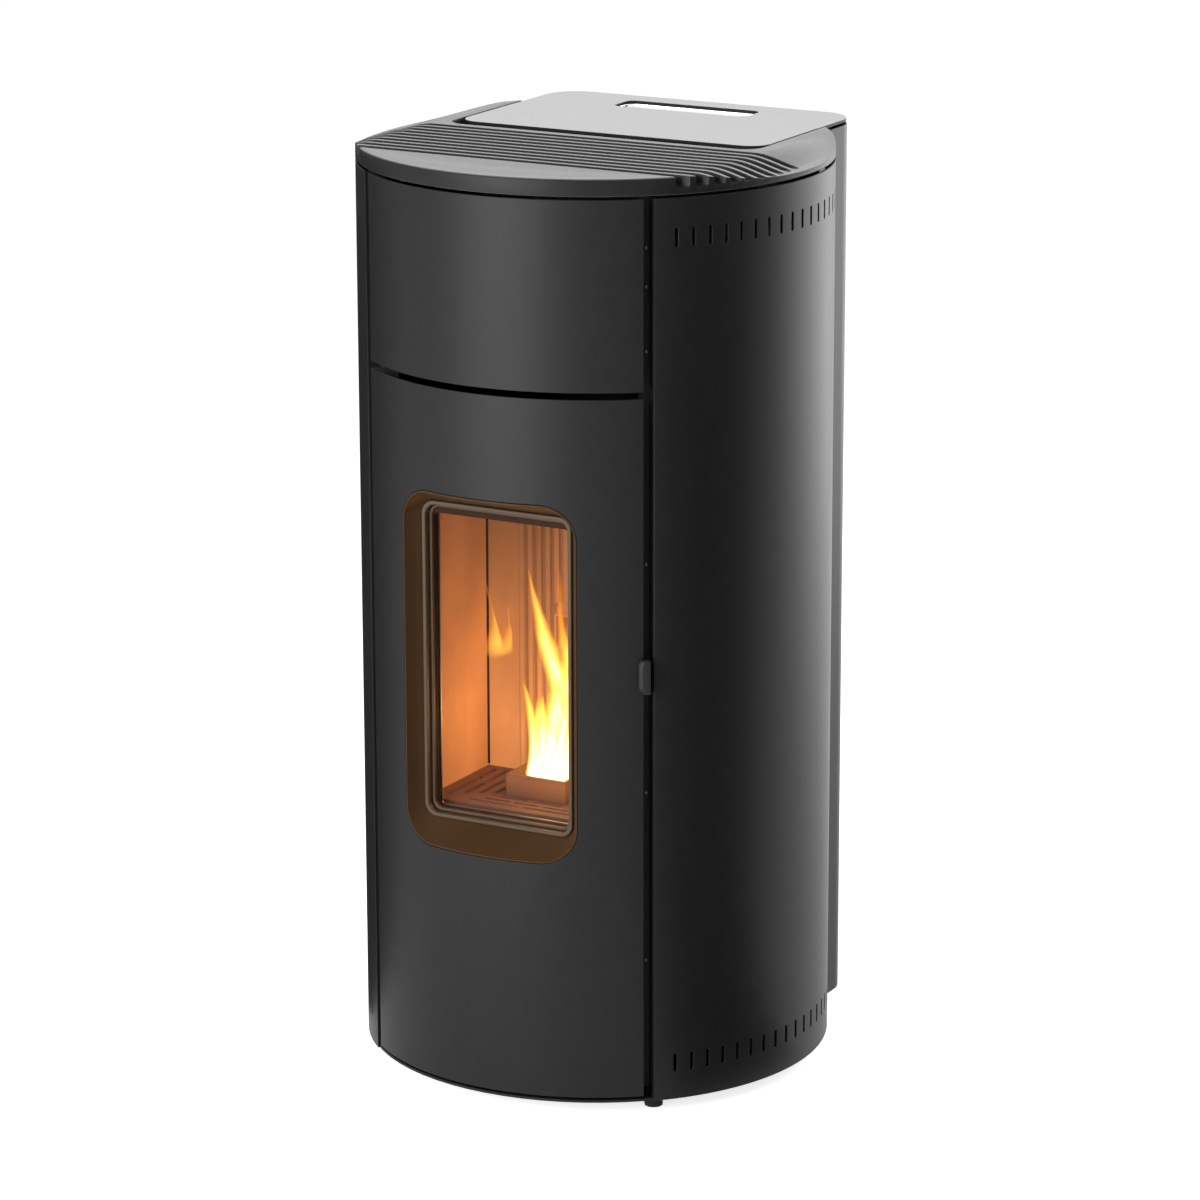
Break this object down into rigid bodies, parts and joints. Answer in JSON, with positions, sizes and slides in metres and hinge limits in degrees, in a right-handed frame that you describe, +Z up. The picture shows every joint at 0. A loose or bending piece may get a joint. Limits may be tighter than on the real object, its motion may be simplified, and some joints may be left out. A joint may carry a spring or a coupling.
{
  "type": "pellet stove",
  "caption": "Round free-standing pellet stove with a curved glazed fire door, slatted top, flush silver hopper lid, vented side panels and rear flue, air, water and mains connections.",
  "frame": {"origin": "centre of the bounding box, on the floor under the feet", "axes": "+Z up, the fire door and window face -Y, +X to the right of a person facing the door"},
  "size_m": [0.56, 0.6, 1.109],
  "materials": {
    "black_paint": "satin black enamel paint",
    "black_steel": "matt black painted steel",
    "top_grey": "satin grey painted cast top",
    "lid_silver": "silver satin paint",
    "bright_steel": "bright polished steel",
    "plain_steel": "plain machined steel",
    "galvanised": "galvanised sheet steel",
    "cast_iron": "bare grey cast iron",
    "frame_bronze": "brownish grey metallic enamel",
    "liner": "vermiculite board, brown",
    "glass": "ceramic fire glass, clear",
    "gasket": "woven glass rope",
    "rubber": "black rubber",
    "dark_plastic": "black moulded plastic",
    "red_paint": "red painted steel",
    "brass": "drawn brass pipe"
  },
  "bodies": {
    "casing": {"front_upper_panel": "black_paint", "side_panel_left": "black_paint", "side_panel_right": "black_paint", "rear_cover": "black_paint", "boiler_shell": "black_paint", "flue_outlet": "black_paint", "base_plate": "black_steel", "frame_post_left": "black_steel", "frame_post_right": "black_steel", "frame_lintel": "black_steel", "firebox_stand": "black_steel", "top_slab": "top_grey", "hinge_pin": "plain_steel", "lid_hinge_base": "plain_steel", "hopper_guard": "plain_steel", "auger_gearmotor": "plain_steel", "igniter": "plain_steel", "flue_fan_motor": "plain_steel", "hopper": "galvanised", "auger_tube": "galvanised", "pellet_chute": "galvanised", "smoke_duct": "galvanised", "flue_fan_housing": "galvanised", "air_inlet_pipe": "galvanised", "firebox_body": "cast_iron", "smoke_deflector": "cast_iron", "fire_grate": "cast_iron", "pot_holder": "cast_iron", "circulation_pump": "cast_iron", "side_liner_left": "liner", "side_liner_right": "liner", "rear_liner": "liner", "lid_seal": "rubber", "power_inlet": "dark_plastic", "control_box": "dark_plastic", "expansion_vessel": "red_paint", "flow_pipe": "brass", "return_pipe": "brass"},
    "fire_door": {"door_skin": "black_paint", "window_surround": "black_paint", "glass_frame": "frame_bronze", "door_frame": "cast_iron", "door_glass": "glass", "glass_clamp": "plain_steel", "door_gasket": "gasket", "door_pivot_upper": "plain_steel", "door_pivot_lower": "plain_steel"},
    "latch": {"latch_handle": "black_paint"},
    "lid": {"hopper_lid": "lid_silver", "lid_pull_dish": "bright_steel", "lid_hinge_leaf": "plain_steel"},
    "drawer": {"ash_drawer": "galvanised"},
    "pot": {"burn_pot": "cast_iron"},
    "auger": {"auger_screw": "plain_steel"},
    "impeller": {"flue_fan_impeller": "plain_steel"},
    "switch": {"rear_switch": "dark_plastic"},
    "foot_front_left": {"foot_front_left": "rubber"},
    "foot_front_right": {"foot_front_right": "rubber"},
    "foot_rear_left": {"foot_rear_left": "rubber"},
    "foot_rear_right": {"foot_rear_right": "rubber"}
  },
  "joints": [
    {"name": "door_hinge", "type": "hinge", "parent": "casing", "child": "fire_door", "pos_m": [-0.16523, -0.22846, 0.44], "axis": [0, 0, -1], "range_deg": [0, 100]},
    {"name": "latch_turn", "type": "hinge", "parent": "fire_door", "child": "latch", "pos_m": [0.17607, -0.2247, 0.534], "axis": [0, 0, 1], "range_deg": [0, 25]},
    {"name": "lid_hinge", "type": "hinge", "parent": "casing", "child": "lid", "pos_m": [0, 0.27, 1.102], "axis": [-1, 0, 0], "range_deg": [0, 85]},
    {"name": "drawer_slide", "type": "slide", "parent": "casing", "child": "drawer", "axis": [0, -1, 0], "range_m": [0, 0.15]},
    {"name": "pot_lift", "type": "slide", "parent": "casing", "child": "pot", "axis": [0, 0, 1], "range_m": [0, 0.06]},
    {"name": "auger_turn", "type": "hinge", "parent": "casing", "child": "auger", "pos_m": [0, 0.155, 0.5397], "axis": [0, -0.7395, 0.6731], "continuous": true},
    {"name": "impeller_turn", "type": "hinge", "parent": "casing", "child": "impeller", "pos_m": [-0.1, 0.04, 0.15], "axis": [0, 1, 0], "continuous": true},
    {"name": "switch_rock", "type": "hinge", "parent": "casing", "child": "switch", "pos_m": [-0.15, 0.261, 0.131], "axis": [-1, 0, 0], "range_deg": [0, 12]},
    {"name": "foot_front_left_turn", "type": "hinge", "parent": "casing", "child": "foot_front_left", "pos_m": [-0.17366, -0.19983, 0.016], "axis": [0, 0, 1], "continuous": true},
    {"name": "foot_front_right_turn", "type": "hinge", "parent": "casing", "child": "foot_front_right", "pos_m": [0.17366, -0.19983, 0.016], "axis": [0, 0, 1], "continuous": true},
    {"name": "foot_rear_left_turn", "type": "hinge", "parent": "casing", "child": "foot_rear_left", "pos_m": [-0.14008, 0.195, 0.016], "axis": [0, 0, 1], "continuous": true},
    {"name": "foot_rear_right_turn", "type": "hinge", "parent": "casing", "child": "foot_rear_right", "pos_m": [0.14008, 0.195, 0.016], "axis": [0, 0, 1], "continuous": true}
  ],
  "couplings": [
    {"joint": "drawer_slide", "follows": "door_hinge", "m_per_rad": 0.0859}
  ]
}
